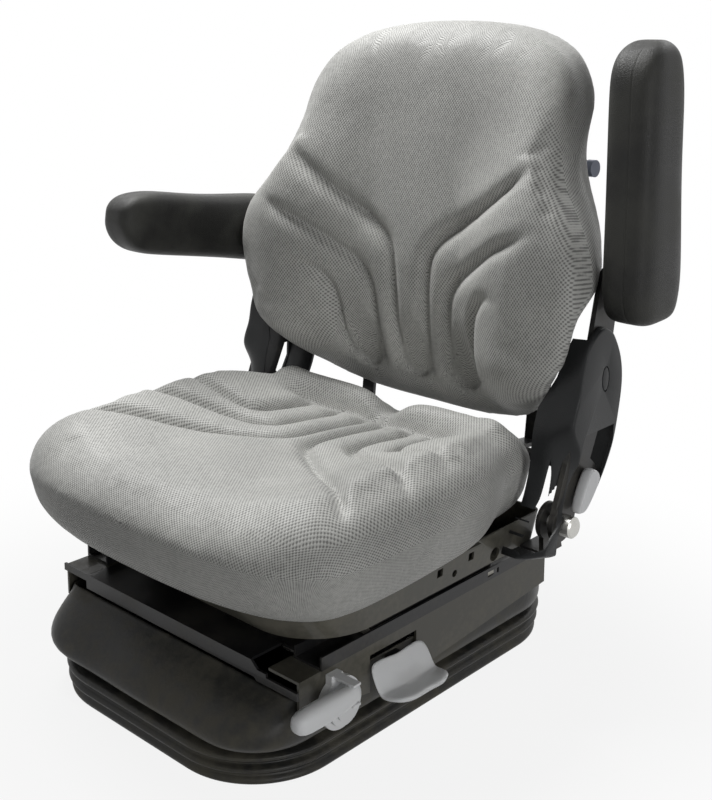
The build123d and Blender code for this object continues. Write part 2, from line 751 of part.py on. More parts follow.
def crank_grip():
    z = crank_z + grip_lift
    y1 = grip_pin_y
    y0 = y1 - grip_length + 2 * grip_r
    body = rod_y(grip_r, y0 - grip_r, y1 - 12, grip_x, z)
    body = fillet(body.edges().sort_by(Axis.Y)[0], grip_r - 1)
    body += block(grip_x - grip_eye_r, grip_x + grip_eye_r, y1 - 14, y1, z - grip_eye_h, z + grip_eye_h)
    body += rod_z(grip_eye_r, z - grip_eye_h, z + grip_eye_h, grip_x, y1)
    return body - rod_z(grip_pin_r + run_gap, z - grip_eye_h, z + grip_eye_h, grip_x, y1)


# Fore and aft lever
def fore_aft_lever():
    x0 = half_frame + 4
    x1 = x0 + paddle_reach
    z = crank_z - 8
    half = paddle_width / 2
    section = [(x0, z + 28), (x0 + paddle_wall, z + 28), (x0 + 12, z + 8), (x0 + 24, z + 1), (x1, z - 2),
               (x1, z - 2 - paddle_wall), (x0 + 20, z - 5), (x0 + 7, z + 2), (x0, z + 14)]
    return section_y(section, paddle_y + half, paddle_y - half)


def lever_arm():
    """The steel arm of the fore and aft lever, with the tube that turns on its pin."""
    x1 = half_frame + 4
    arm = block(lever_pin_x, x1 - soft_gap, paddle_y - 8, paddle_y + 8, lever_z - 3, lever_z + 2)
    arm += rod_y(8, paddle_y - 18, paddle_y + 18, lever_pin_x, lever_z)
    return arm - rod_y(lever_pin_r + run_gap, paddle_y - 18, paddle_y + 18, lever_pin_x, lever_z)


def lever_bracket():
    """Two ears under the frame's roof that hold the lever's pin."""
    y = paddle_y
    ears = [block(lever_pin_x - 8, lever_pin_x + 8, y - 22, y - 19, lever_z - 8, frame_top - sheet),
            block(lever_pin_x - 8, lever_pin_x + 8, y + 19, y + 22, lever_z - 8, frame_top - sheet)]
    return ears[0] + ears[1] + rod_y(lever_pin_r, y - 22, y + 22, lever_pin_x, lever_z)


save("base_plate", base_plate())
save("gaiter", gaiter())
save("base_tracks", base_tracks())
save("base_pivot_ears", pivot_ears(low_z, sheet))
save("base_pivot_shaft", pivot_shaft(low_z))
save_pair("outer_arm", scissor_arm(outer_arm_x, low_z, high_z, axle_r))
save_pair("inner_arm", scissor_arm(inner_arm_x, high_z, low_z, axle_r + bolt_slack))
save("outer_cross_tube", cross_tube(outer_arm_x, low_z))
save("inner_cross_tube", cross_tube(inner_arm_x, high_z))
save("scissor_bolts", scissor_bolts())
save("upper_axle", front_axle(outer_arm_x, high_z))
save("lower_axle", front_axle(inner_arm_x, low_z))
save("upper_rollers", rollers(high_z))
save("lower_rollers", rollers(low_z))
member = side_member()
save("side_member_right", member.mirror(Plane.YZ))
save("side_member_left", member - rod_x(spindle_r + 1, 0, half_frame, crank_y, crank_z))
save("front_member", front_member())
save("rear_member", rear_member())
save("deck", deck())
save("upper_pivot_ears", pivot_ears(high_z, frame_top - sheet))
save("upper_pivot_shaft", pivot_shaft(high_z))
damper_tube, damper_rod = damper()
save("damper_tube", damper_tube)
save("damper_rod", damper_rod)
save("weight_springs", both(tension_spring(90)))
save_pair("lower_rail", lower_rail())
save_pair("upper_rail", upper_rail())
save("slide_shoes", Compound(shoes()))
save("seat_pan", seat_pan())
save("seat_cushion", seat_cushion())
save_pair("recliner_bracket", recliner_bracket())
save("pivot_bolts", pivot_bolts())
save_pair("inner_cap", inner_cap())
save_pair("side_plate", side_plate())
save_pair("side_cover", side_cover())
save("recline_lever", recline_lever())
save("backrest_cushion", back_cushion())
save("backrest_shell", back_shell())
save("backrest_frame", back_frame())
save("lumbar_knob", lumbar_knob())
save("arm_bolts", arm_bolts())
save("armrest_left", placed_arm(-90))
save("armrest_right", placed_arm(-pad_lift).mirror(Plane.YZ))
save("crank_hub", crank_hub())
save("crank_bearing", crank_bearing())
save("crank_grip", crank_grip())
save("fore_aft_lever", fore_aft_lever())
save("lever_arm", lever_arm())
save("lever_bracket", lever_bracket())
save("spring_anchor", spring_anchor())
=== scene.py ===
# %% [markdown]
# # A tractor suspension seat
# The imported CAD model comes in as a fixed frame. Its rigid steel and plastic pieces stay, with better
# finishes, and the soft or softly moulded pieces are built here on top of their CAD solids: the seat
# and backrest foam in woven cloth, the rubber bellows, the armrest pads, the recliner covers and the
# pale levers. Everything is in metres, with +Z up, and the seat faces -Y.

# %% Load the frame
import json
import math

import bmesh
import bpy
import numpy as np
from mathutils import Matrix, Vector


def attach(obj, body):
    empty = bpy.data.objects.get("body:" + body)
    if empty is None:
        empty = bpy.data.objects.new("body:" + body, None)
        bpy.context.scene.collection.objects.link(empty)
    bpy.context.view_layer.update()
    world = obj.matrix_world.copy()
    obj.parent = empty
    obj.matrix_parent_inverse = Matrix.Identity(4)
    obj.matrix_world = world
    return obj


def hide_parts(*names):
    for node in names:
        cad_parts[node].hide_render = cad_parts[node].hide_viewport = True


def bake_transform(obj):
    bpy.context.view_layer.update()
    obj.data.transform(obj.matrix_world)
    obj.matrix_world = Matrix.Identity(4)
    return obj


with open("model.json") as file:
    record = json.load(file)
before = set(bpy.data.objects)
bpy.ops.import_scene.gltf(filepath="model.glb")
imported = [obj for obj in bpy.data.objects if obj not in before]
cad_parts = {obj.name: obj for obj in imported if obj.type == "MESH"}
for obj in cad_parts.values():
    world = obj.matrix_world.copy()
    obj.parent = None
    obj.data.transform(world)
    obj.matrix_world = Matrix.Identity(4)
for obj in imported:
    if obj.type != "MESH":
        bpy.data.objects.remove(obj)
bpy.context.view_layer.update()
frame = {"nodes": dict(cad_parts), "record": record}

nodes = frame["nodes"]
MM = 0.001

# %% [markdown]
# ## Camera
# The photograph's perspective was solved from pairs of points that mirror each other across the seat.
# It looks down 11 degrees from the sitter's front left, and the frame is shifted down a little, because
# the lens's axis meets the picture above its middle.

# %% Camera
camera_data = bpy.data.cameras.new("photo_camera")
camera_data.lens = 55.33
camera_data.shift_y = -0.1806
camera_data.clip_end = 50
camera = bpy.data.objects.new("photo_camera", camera_data)
camera.location = (0.9514, -0.9417, 0.7314)
camera.rotation_euler = (math.radians(79), 0, math.radians(42.91))
bpy.context.scene.collection.objects.link(camera)
bpy.context.scene.camera = camera
print("camera at", tuple(camera.location))

# %% [markdown]
# ## Shader expressions
# A finish is a graph of nodes. The maths in it is easier to read as Python, so one small class wraps a
# socket and adds a Math node for each operator. Every other node comes from `Finish.node`, which sets
# the node's settings first and then its sockets.

# %% A socket that can be calculated with
class Wire:
    """One output of a finish's graph. Sums and products of wires add Math nodes."""

    def __init__(self, finish, socket):
        self.finish = finish
        self.socket = socket

    def maths(self, operation, *others):
        return self.finish.node("ShaderNodeMath", {"operation": operation}, dict(enumerate((self, *others))))

    def __add__(self, other):
        return self.maths("ADD", other)

    def __sub__(self, other):
        return self.maths("SUBTRACT", other)

    def __rsub__(self, other):
        return (self * -1.0) + other

    def __mul__(self, other):
        return self.maths("MULTIPLY", other)

    def cosine(self):
        return self.maths("COSINE")


LOW_SHINE = 0.22  # a dull specular level, because the photo's blacks stay black


class Finish:
    """A material with one Principled shader, and the few node recipes that this seat needs."""

    def __init__(self, name, colour, roughness, metallic=0.0, **fixed):
        self.material = bpy.data.materials.new(name)
        self.material.use_nodes = True
        self.tree = self.material.node_tree
        self.shader = self.tree.nodes["Principled BSDF"]
        self.shader.inputs["Base Color"].default_value = (*colour, 1)
        self.shader.inputs["Roughness"].default_value = roughness
        self.shader.inputs["Specular IOR Level"].default_value = LOW_SHINE
        self.shader.inputs["Metallic"].default_value = metallic
        for socket, value in fixed.items():
            self.shader.inputs[socket.replace("_", " ")].default_value = value

    def node(self, kind, settings=None, sockets=None, out=0):
        made = self.tree.nodes.new(kind)
        for key, value in (settings or {}).items():
            setattr(made, key, value)
        for key, value in (sockets or {}).items():
            self.feed(made.inputs[key], value)
        return Wire(self, made.outputs[out])

    def feed(self, socket, value):
        if isinstance(value, Wire):
            self.tree.links.new(value.socket, socket)
        else:
            socket.default_value = value

    def set(self, socket, value):
        self.feed(self.shader.inputs[socket], value)

    def place(self):
        """Where a point is on the object at rest, in metres."""
        return self.node("ShaderNodeTexCoord", out="Object")

    def noise(self, scale, detail=3.0):
        sockets = {"Vector": self.place(), "Scale": scale, "Detail": detail, "Roughness": 0.5}
        return self.node("ShaderNodeTexNoise", {"noise_dimensions": "3D"}, sockets)

    def ramp(self, value, low, high, low_to=0.0, high_to=1.0):
        """Spreads low..high of a value over low_to..high_to, eased at both ends."""
        sockets = {"Value": value, 1: low, 2: high, 3: low_to, 4: high_to}
        return self.node("ShaderNodeMapRange", {"interpolation_type": "SMOOTHSTEP"}, sockets)

    def blend(self, factor, first, second):
        """A colour between two others."""
        first = first if isinstance(first, Wire) else (*first, 1)
        second = second if isinstance(second, Wire) else (*second, 1)
        return self.node("ShaderNodeMix", {"data_type": "RGBA"}, {0: factor, 6: first, 7: second}, out=2)

    def bump(self, height, distance, strength=1.0):
        sockets = {"Strength": strength, "Distance": distance, "Height": height}
        self.set("Normal", self.node("ShaderNodeBump", None, sockets))


# %% [markdown]
# ## Woven cloth
# The covers are a silver-grey cloth with a coarse honeycomb weave: small bright knots in staggered rows
# with dark gaps. Each cushion carries its own cloth coordinates in a mesh attribute, measured along the
# surface, so that the rows follow the curves over the edges. The knots are a product of two cosines,
# and the two pitches are the distances in metres after which each cosine repeats.

# %% Cloth finish
KNOT_PITCH = 0.0038
ROW_PITCH = 0.0050


def woven_cloth():
    cloth = Finish("seat_cloth", (0.42, 0.42, 0.41), 0.5, Sheen_Weight=0.12, Sheen_Roughness=0.45)
    lay = cloth.node("ShaderNodeAttribute", {"attribute_name": "lay"}, out="Vector")
    parts = cloth.node("ShaderNodeSeparateXYZ", None, {0: lay}).socket.node.outputs
    across = Wire(cloth, parts[0]) * (2 * math.pi / KNOT_PITCH)
    along = Wire(cloth, parts[1]) * (2 * math.pi / ROW_PITCH)
    knots = (across.cosine() * along.cosine()) * 0.5 + 0.5
    mottling = cloth.noise(9.0, 4.0)
    fibres = cloth.noise(900.0, 2.0)
    worn = cloth.ramp(mottling, 0.35, 0.7)
    knot_colour = cloth.blend(worn, (0.47, 0.47, 0.45), (0.56, 0.56, 0.535))
    gap_colour = cloth.blend(worn, (0.17, 0.17, 0.162), (0.22, 0.22, 0.21))
    uneven = cloth.noise(210.0, 2.0) * 0.5 - 0.25
    cloth.set("Base Color", cloth.blend(cloth.ramp(knots + uneven, 0.10, 0.70), gap_colour, knot_colour))
    cloth.set("Roughness", 0.56 - knots * 0.18 + fibres * 0.08)
    cloth.bump(knots + fibres * 0.25, 0.0005, 0.6)
    return cloth.material


cloth = woven_cloth()
print("cloth:", len(cloth.node_tree.nodes), "nodes")

# %% [markdown]
# ## Rigid and rubber finishes
# The steel is painted satin black, and its housing and pan a dull olive grey, all a little dusty. Each
# finish varies its colour and roughness with soft noise, and carries a fine bump: orange peel on paint,
# a sand grain on moulded plastic, a leather grain on the armrests and a matt skin on the rubber.

# %% Painted steel
def painted_steel(name, colour, dust, roughness):
    paint = Finish(name, colour, roughness, Coat_Weight=0.15)
    cloud = paint.noise(14.0, 5.0)
    speck = paint.noise(160.0, 3.0)
    film = paint.ramp(cloud * 0.7 + speck * 0.3, 0.42, 0.68)
    paint.set("Base Color", paint.blend(film * 0.55, colour, dust))
    paint.set("Roughness", film * 0.25 + (roughness - 0.08))
    paint.bump(paint.noise(420.0, 2.0), 0.0003, 0.25)
    return paint.material


black_paint = painted_steel("black_paint", (0.016, 0.016, 0.017), (0.075, 0.07, 0.06), 0.38)
olive_paint = painted_steel("olive_paint", (0.065, 0.062, 0.05), (0.16, 0.15, 0.12), 0.42)


# %% [markdown]
# Bare zinc-plated steel is streaky. Moulded plastic is paler where hands rub it, the bellows is grimy in
# its folds, and the armrests' leather grain is a cell pattern whose edges are the creases.

# %% Bare steel, plastics and rubber
def zinc_steel():
    zinc = Finish("zinc_steel", (0.55, 0.55, 0.53), 0.35, 1.0)
    streak = zinc.noise(60.0, 4.0)
    zinc.set("Base Color", zinc.blend(streak, (0.40, 0.39, 0.36), (0.66, 0.66, 0.64)))
    zinc.set("Roughness", zinc.ramp(streak, 0.3, 0.7, 0.25, 0.5))
    zinc.bump(zinc.noise(500.0, 2.0), 0.0002, 0.3)
    return zinc.material


def moulded_plastic(name, colour, pale, roughness, grain=0.0004, grain_scale=900.0):
    plastic = Finish(name, colour, roughness)
    cloud = plastic.noise(11.0, 4.0)
    grains = plastic.noise(grain_scale, 2.0)
    rub = plastic.ramp(cloud, 0.45, 0.75)
    plastic.set("Base Color", plastic.blend(rub, colour, pale))
    plastic.set("Roughness", rub * 0.10 + grains * 0.10 + (roughness - 0.08))
    plastic.bump(grains, grain, 0.5)
    return plastic.material


def gaiter_skin():
    skin = Finish("gaiter_skin", (0.02, 0.02, 0.019), 0.5)
    cloud = skin.noise(10.0, 5.0)
    grime = skin.noise(70.0, 4.0)
    film = skin.ramp(cloud * 0.6 + grime * 0.4, 0.4, 0.66)
    skin.set("Base Color", skin.blend(film, (0.017, 0.017, 0.016), (0.062, 0.058, 0.046)))
    skin.set("Roughness", film * 0.2 + 0.36)
    skin.bump(skin.noise(260.0, 3.0), 0.0005, 0.35)
    return skin.material


def arm_leatherette():
    skin = Finish("arm_skin", (0.022, 0.022, 0.021), 0.42)
    cells = skin.node("ShaderNodeTexVoronoi", {"feature": "DISTANCE_TO_EDGE"},
                      {"Vector": skin.place(), "Scale": 620.0})
    cloud = skin.noise(16.0, 4.0)
    rubbed = skin.ramp(cloud, 0.35, 0.7)
    skin.set("Base Color", skin.blend(rubbed, (0.016, 0.016, 0.015), (0.040, 0.040, 0.036)))
    skin.set("Roughness", skin.ramp(cloud, 0.3, 0.7, 0.36, 0.52))
    skin.bump(skin.ramp(cells, 0.0, 0.25), 0.0004, 0.4)
    return skin.material


zinc = zinc_steel()
cover_plastic = moulded_plastic("cover_plastic", (0.018, 0.019, 0.020), (0.036, 0.037, 0.038), 0.42)
shell_plastic = moulded_plastic("shell_plastic", (0.013, 0.013, 0.013), (0.03, 0.03, 0.028), 0.42)
lever_plastic = moulded_plastic("lever_plastic", (0.84, 0.85, 0.86), (0.90, 0.90, 0.90), 0.34, 0.0002)
roller_plastic = moulded_plastic("roller_plastic", (0.60, 0.58, 0.52), (0.70, 0.68, 0.62), 0.4, 0.0002)
knob_plastic = moulded_plastic("knob_plastic", (0.55, 0.60, 0.78), (0.66, 0.70, 0.84), 0.3, 0.0002)
marker_plastic = moulded_plastic("marker_plastic", (0.62, 0.56, 0.03), (0.72, 0.66, 0.08), 0.4, 0.0002)
gaiter_rubber = gaiter_skin()
arm_skin = arm_leatherette()
print("finishes:", len(bpy.data.materials))

# %% [markdown]
# ## Dress the CAD nodes
# Every node keeps the slot that its record names, so one table from slot to finish dresses them all. A
# small bevel, as a modifier, rounds the sheet edges of the steel, because a real pressed edge always
# catches a thin line of light.

# %% Finish by slot
finish_of = {
    "black_steel": black_paint, "olive_steel": olive_paint, "bare_steel": zinc,
    "gaiter_rubber": gaiter_rubber, "seat_fabric": cloth, "arm_skin": arm_skin,
    "cover_plastic": cover_plastic, "shell_plastic": shell_plastic, "control_plastic": lever_plastic,
    "roller_plastic": roller_plastic, "knob_plastic": knob_plastic, "indicator_plastic": marker_plastic,
}
EDGED_SLOTS = ("black_steel", "olive_steel", "control_plastic", "cover_plastic")


def soft_edge(piece, width, angle):
    """A bevel, as a modifier, on the edges that are sharper than an angle in degrees."""
    edge = piece.modifiers.new("soft_edge", "BEVEL")
    edge.width = width
    edge.segments = 2
    edge.limit_method = "ANGLE"
    edge.angle_limit = math.radians(angle)


slot_of = {row["node"]: row["material_slot"] for row in frame["record"]["subparts"]}
for name, node in nodes.items():
    for holder in node.material_slots:
        holder.material = finish_of[slot_of[name]]
    if slot_of[name] in EDGED_SLOTS:
        soft_edge(node, 0.0007, 40)
print("dressed", len(slot_of), "nodes")

# %% [markdown]
# ## Making skins
# The soft pieces are closed skins through rings of points. A ring is a row of points round the piece,
# and the next ring has the same number. A closed smooth curve through a few measured points gives each
# outline, and an eased curve through a few heights gives each section.

# %% Curves and skins
def between(before, here, after, beyond, t):
    """A smooth curve from here to after that also heeds the points on either side of them."""
    return 0.5 * (2 * here + (after - before) * t + (2 * before - 5 * here + 4 * after - beyond) * t**2
                  + (3 * here - before - 3 * after + beyond) * t**3)


def round_curve(points, count):
    """A closed smooth curve through the points, sampled evenly enough for a ring."""
    knots = np.array(points, float)
    before, here, after, beyond = [np.roll(knots, -places, axis=0) for places in (-1, 0, 1, 2)]
    t = np.linspace(0, 1, count // len(knots) + 1)[:-1, None, None]
    return between(before, here, after, beyond, t).transpose(1, 0, 2).reshape(-1, knots.shape[1])


def even(curve, count):
    """The same closed curve with its points at equal distances."""
    closed = np.vstack([curve, curve[:1]])
    run = np.concatenate([[0], np.cumsum(np.linalg.norm(np.diff(closed, axis=0), axis=1))])
    marks = np.linspace(0, run[-1], count + 1)[:-1]
    return np.stack([np.interp(marks, run, closed[:, k]) for k in range(closed.shape[1])], -1)


def eased(points):
    """A smooth function through (place, value) pairs."""
    xs, ys = np.array(points, float).T
    slopes = np.gradient(ys, xs)

    def value(x):
        x = np.clip(x, xs[0], xs[-1])
        i = np.clip(np.searchsorted(xs, x) - 1, 0, len(xs) - 2)
        h = xs[i + 1] - xs[i]
        t = (x - xs[i]) / h
        return ((2 * t**3 - 3 * t**2 + 1) * ys[i] + (t**3 - 2 * t**2 + t) * h * slopes[i]
                + (3 * t**2 - 2 * t**3) * ys[i + 1] + (t**3 - t**2) * h * slopes[i + 1])

    return value


def step(x, low, high):
    """0 below low, 1 above high, eased between."""
    t = np.clip((x - low) / (high - low), 0, 1)
    return t * t * (3 - 2 * t)


def add_object(name, mesh, finish):
    piece = bpy.data.objects.new(name, mesh)
    bpy.context.scene.collection.objects.link(piece)
    mesh.materials.append(finish)
    mesh.shade_smooth()
    return piece


def skin(name, rings, finish, tube=False):
    """A closed skin through rings in millimetres. A tube joins its last ring to its first."""
    rings = np.array(rings, float) * MM
    rows, count = rings.shape[:2]
    mesh = bpy.data.meshes.new(name)
    faces = []
    for r in range(rows if tube else rows - 1):
        low, high = r * count, ((r + 1) % rows) * count
        for i in range(count):
            j = (i + 1) % count
            faces.append((low + i, low + j, high + j, high + i))
    if not tube:
        faces.append(tuple(reversed(range(count))))
        faces.append(tuple(range((rows - 1) * count, rows * count)))
    mesh.from_pydata(rings.reshape(-1, 3), [], faces)
    mesh.update()
    build = bmesh.new()
    build.from_mesh(mesh)
    bmesh.ops.recalc_face_normals(build, faces=build.faces)
    build.to_mesh(mesh)
    build.free()
    return add_object(name, mesh, finish)


def points_of(piece):
    co = np.empty(len(piece.data.vertices) * 3)
    piece.data.vertices.foreach_get("co", co)
    return co.reshape(-1, 3)


def move_points(piece, points):
    piece.data.vertices.foreach_set("co", np.asarray(points, float).ravel())
    piece.data.update()


def bake(piece):
    """Applies the piece's modifiers to its mesh."""
    graph = bpy.context.evaluated_depsgraph_get()
    old = piece.data
    piece.data = bpy.data.meshes.new_from_object(piece.evaluated_get(graph))
    piece.modifiers.clear()
    bpy.data.meshes.remove(old)


def subdivide(piece, levels):
    finer = piece.modifiers.new("finer", "SUBSURF")
    finer.levels = levels
    bake(piece)
    piece.data.shade_smooth()


# %% [markdown]
# ## Puffed foam
# A cloth simulation gives the cover its fullness over the foam. The skin is remeshed into even squares,
# blown up a little with no gravity, and no point may move more than a cap, which goes down to nothing
# where the cushion rests on its pan or shell. The moulded grooves come after it, because they are finer
# than the remesh.

# %% Puff and channels
PUFF_FRAMES = 20
VOXEL = 0.006  # metres
PUFF_CAP = 6  # millimetres


def puff(piece, voxel, cap):
    """Remeshes, inflates by simulation with each point's move capped, and subdivides once."""
    remesh = piece.modifiers.new("even_squares", "REMESH")
    remesh.mode = "VOXEL"
    remesh.voxel_size = voxel
    bake(piece)
    rest = points_of(piece)
    pressure = piece.modifiers.new("foam", "CLOTH")
    pressure.settings.use_pressure = True
    pressure.settings.uniform_pressure_force = 4
    pressure.settings.effector_weights.gravity = 0
    pressure.settings.quality = 4
    scene = bpy.context.scene
    for number in range(1, PUFF_FRAMES + 1):
        scene.frame_set(number)
    bake(piece)
    scene.frame_set(1)
    shift = points_of(piece) - rest
    length = np.linalg.norm(shift, axis=1)
    allowed = cap(rest / MM) * MM
    move_points(piece, rest + shift * np.minimum(1, allowed / np.maximum(length, 1e-9))[:, None])
    subdivide(piece, 1)
    return length.max() / MM


def distance_to(path, points):
    """Each point's distance to a path of straight runs, and how far along the path its nearest place is."""
    best = np.full(len(points), 1e9)
    where = np.zeros(len(points))
    gone = 0.0
    for start, end in zip(path[:-1], path[1:]):
        run = end - start
        size = np.linalg.norm(run)
        t = np.clip((points - start) @ run / size**2, 0, 1)
        gap = np.linalg.norm(points - start - t[:, None] * run, axis=1)
        nearer = gap < best
        best[nearer] = gap[nearer]
        where[nearer] = gone + t[nearer] * size
        gone += size
    return best, where


def open_curve(points, count=10):
    """A smooth open curve through points."""
    knots = np.array(points, float)
    padded = np.vstack([2 * knots[0] - knots[1], knots, 2 * knots[-1] - knots[-2]])
    t = np.linspace(0, 1, count, endpoint=False)[:, None]
    runs = []
    for before, here, after, beyond in zip(padded, padded[1:], padded[2:], padded[3:]):
        runs.append(between(before, here, after, beyond, t))
    return np.vstack([*runs, knots[-1:]])


def groove_depth(path, points, half_width, depth, fade):
    """The depth of a moulded groove at each point: a soft valley with a tighter crease in it."""
    curve = open_curve(path)
    gap, where = distance_to(curve, points)
    valley = 0.6 * np.exp(-(gap / half_width) ** 2) + 0.4 * np.exp(-(gap / half_width * 2.2) ** 2)
    return depth * valley * step(where, -fade * 0.25, fade)


def soften(piece, values, rounds):
    """Averages a value at each point with its neighbours, so that a pressed edge isn't jagged."""
    ends = np.empty(len(piece.data.edges) * 2, int)
    piece.data.edges.foreach_get("vertices", ends)
    first, second = ends.reshape(-1, 2).T
    size = len(values)
    count = np.bincount(ends, minlength=size)
    for _ in range(rounds):
        total = np.bincount(first, values[second], size) + np.bincount(second, values[first], size)
        values = 0.4 * values + 0.6 * total / np.maximum(count, 1)
    return values


# %% [markdown]
# ## Seat cushion
# Seen from above the seat is broad and blunt at the front and narrows at the rear between the recliner
# covers. Its middle is a dish that falls to the rear, its sides roll up, and at the rear two puffed
# lobes meet in a valley. The tables give its half outline as (x, y), and heights and shares along it.
# Below the lobes the skin stays in front of LOBE_CLEAR, so that the backrest's cross tube has room when
# the backrest tilts forward.

# %% Seat shape
SEAT_HALF = [(0, -270), (60, -269), (112, -265), (162, -256), (204, -241), (236, -214), (248, -176),
             (250, -120), (248, -60), (244, 0), (236, 45), (222, 80), (212, 106), (208, 134), (202, 160),
             (182, 180), (133, 188), (75, 189), (28, 184)]
seat_outline = SEAT_HALF + [(-x, y) for x, y in SEAT_HALF[:0:-1]]
seat_middle = eased([(-280, 266), (-230, 268), (-160, 267), (-90, 264), (-20, 259), (50, 254), (110, 247),
                     (200, 246)])
seat_rise = eased([(-280, 8), (-200, 19), (-120, 26), (-40, 33), (40, 38), (110, 38), (180, 18)])
seat_roll = eased([(0, 1.0), (0.06, 0.72), (0.16, 0.47), (0.34, 0.22), (0.6, 0.06), (1.0, 0.0)])
SEAT_SIDE = [  # height, inset
    (180, 32), (181, 26), (186, 20), (194, 14), (204, 9), (215, 5), (226, 2), (232, 0.6), (238, 0.2),
]
SEAT_TOP = (1.0, 0.992, 0.98, 0.962, 0.94, 0.91, 0.87, 0.82, 0.76, 0.68, 0.58, 0.46, 0.32, 0.18, 0.06)
LOBE_CLEAR = 177
EDGE_ROLL = 62  # how far in from its rim the seat's edge is rounded


def seat_height(x, y):
    """The height of the seat's upper surface, before its edge rolls over."""
    side = step(np.abs(x), 70, 222)
    lobe = step(y, 108, 142) * 26 * (1 - 0.85 * np.exp(-(x / 26) ** 2)) * (1 - 0.6 * side)
    return seat_middle(y) + seat_rise(y) * side + lobe


def seat_rings():
    outline = even(round_curve(seat_outline, 720), 320)
    middle = np.array([0, -30.0])
    rings = []
    for z, inset in SEAT_SIDE:
        pulled = middle + (outline - middle) * (1 - inset / 235)
        pulled[:, 1] = np.minimum(pulled[:, 1], LOBE_CLEAR)
        rings.append(np.column_stack([pulled, np.full(len(pulled), float(z))]))
    for share in SEAT_TOP:
        pulled = middle + (outline - middle) * share
        gap, _ = distance_to(np.vstack([outline, outline[:1]]), pulled)
        top = seat_height(*pulled.T)
        rim = 240 + 8 * step(pulled[:, 1], 170, 182)
        z = top - (top - rim) * seat_roll(gap / EDGE_ROLL)
        rings.append(np.column_stack([pulled, z]))
    return rings


seat = skin("seat_cushion_cover", seat_rings(), cloth)
moved = puff(seat, VOXEL, lambda p: PUFF_CAP * step(p[:, 2], 192, 230))
print("seat:", len(seat.data.vertices), "points, puffed at most", round(moved, 1), "mm, uncapped")

# %% [markdown]
# The grooves are pressed into the top by moving points down. A groove is a soft valley, deepest along
# its line, and the front edges of the rear lobes end the middle channels as small rounded pockets. Each
# row of the table is one groove of the seat's left half as (x, y); the other half mirrors it. Then each
# point is told where it lies on the flat cloth, for the weave.

# %% Seat grooves and cloth coordinates
SEAT_FANS = [
    [(222, -176), (196, -152), (160, -122), (110, -88), (60, -54), (28, -30), (16, -8), (15, 40), (15, 118)],
    [(226, -86), (204, -70), (165, -46), (120, -24), (84, -8), (64, 6), (59, 30), (58, 118)],
    [(210, -8), (190, 0), (160, 6), (130, 12), (112, 22), (105, 44), (102, 112)],
]
LOBE_FRONT = [(0, 122), (60, 118), (112, 112), (140, 100)]


def press_seat(piece):
    points = points_of(piece) / MM
    plan = points[:, :2].copy()
    plan[:, 0] = np.abs(plan[:, 0])
    top = step(points[:, 2], 232, 244)
    drop = np.zeros(len(points))
    for fan, half_width in zip(SEAT_FANS, (10, 9.5, 9)):
        drop = np.maximum(drop, groove_depth(fan, plan, half_width, 15, 55))
    lobe_front = groove_depth(LOBE_FRONT, plan, 11, 12, 1)
    drop = np.maximum(drop, lobe_front * (1 - step(plan[:, 0], 104, 150)))
    points[:, 2] -= soften(piece, drop * top, 2)
    move_points(piece, points * MM)


def lay_cloth(piece, flat_axes, depth_axis, depth_from, under_from, sign):
    """Stores where each point lies on the flat cloth: its plan place, carried on down the sides.

    From under_from the cloth is carried on faster, because there the surface turns back under itself.
    """
    points = points_of(piece)
    normals = np.empty(len(points) * 3)
    piece.data.vertices.foreach_get("normal", normals)
    normals = normals.reshape(-1, 3)[:, flat_axes]
    length = np.linalg.norm(normals, axis=1, keepdims=True)
    outward = normals / np.maximum(length, 0.35)
    down = np.maximum(0, (depth_from - points[:, depth_axis]) * sign)
    down += 1.6 * np.maximum(0, (under_from - points[:, depth_axis]) * sign)
    lay = np.zeros((len(points), 3))
    lay[:, :2] = points[:, flat_axes] + outward * down[:, None]
    layer = piece.data.attributes.new("lay", "FLOAT_VECTOR", "POINT")
    layer.data.foreach_set("vector", lay.ravel())


press_seat(seat)
lay_cloth(seat, [0, 1], 2, 0.262, 0.236, 1)
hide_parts("seat_cushion")
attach(seat, "seat")
print("seat grooves pressed; highest point at", round(points_of(seat)[:, 2].max() / MM), "mm")

# %% [markdown]
# ## Backrest cushion
# It is made upright and then leaned back 6 degrees about the recliner's pivot, as its CAD solid is. Two
# deep bolsters flank a lumbar bulge, and the outline is widest at their height. The tables give half of
# the front and rear outlines as (x, z), and depths along the height.

# %% Backrest shape
BACK_HALF = [(60, 262), (112, 265), (152, 272), (185, 286), (204, 301), (219, 318), (232, 338), (245, 362),
             (252, 387), (256.5, 412), (258, 440), (256, 466), (249, 490), (238, 514), (227, 536),
             (218, 556), (211, 582), (207, 615), (205, 645), (197, 673), (178, 699), (150, 717), (112, 730),
             (60, 737)]
REAR_HALF = [(60, 263), (98, 268), (126, 280), (148, 300), (163, 328), (175, 362), (190, 395), (201, 421),
             (208, 446), (214, 470), (214, 498), (206, 526), (195, 553), (185, 581), (180, 610), (178, 638),
             (176, 666), (168, 694), (150, 713), (112, 728), (60, 735)]


def both_sides(half, low, high):
    """A closed outline from one side's points, with its lowest and highest points."""
    return [(0, low)] + half + [(0, high)] + [(-x, z) for x, z in reversed(half)]


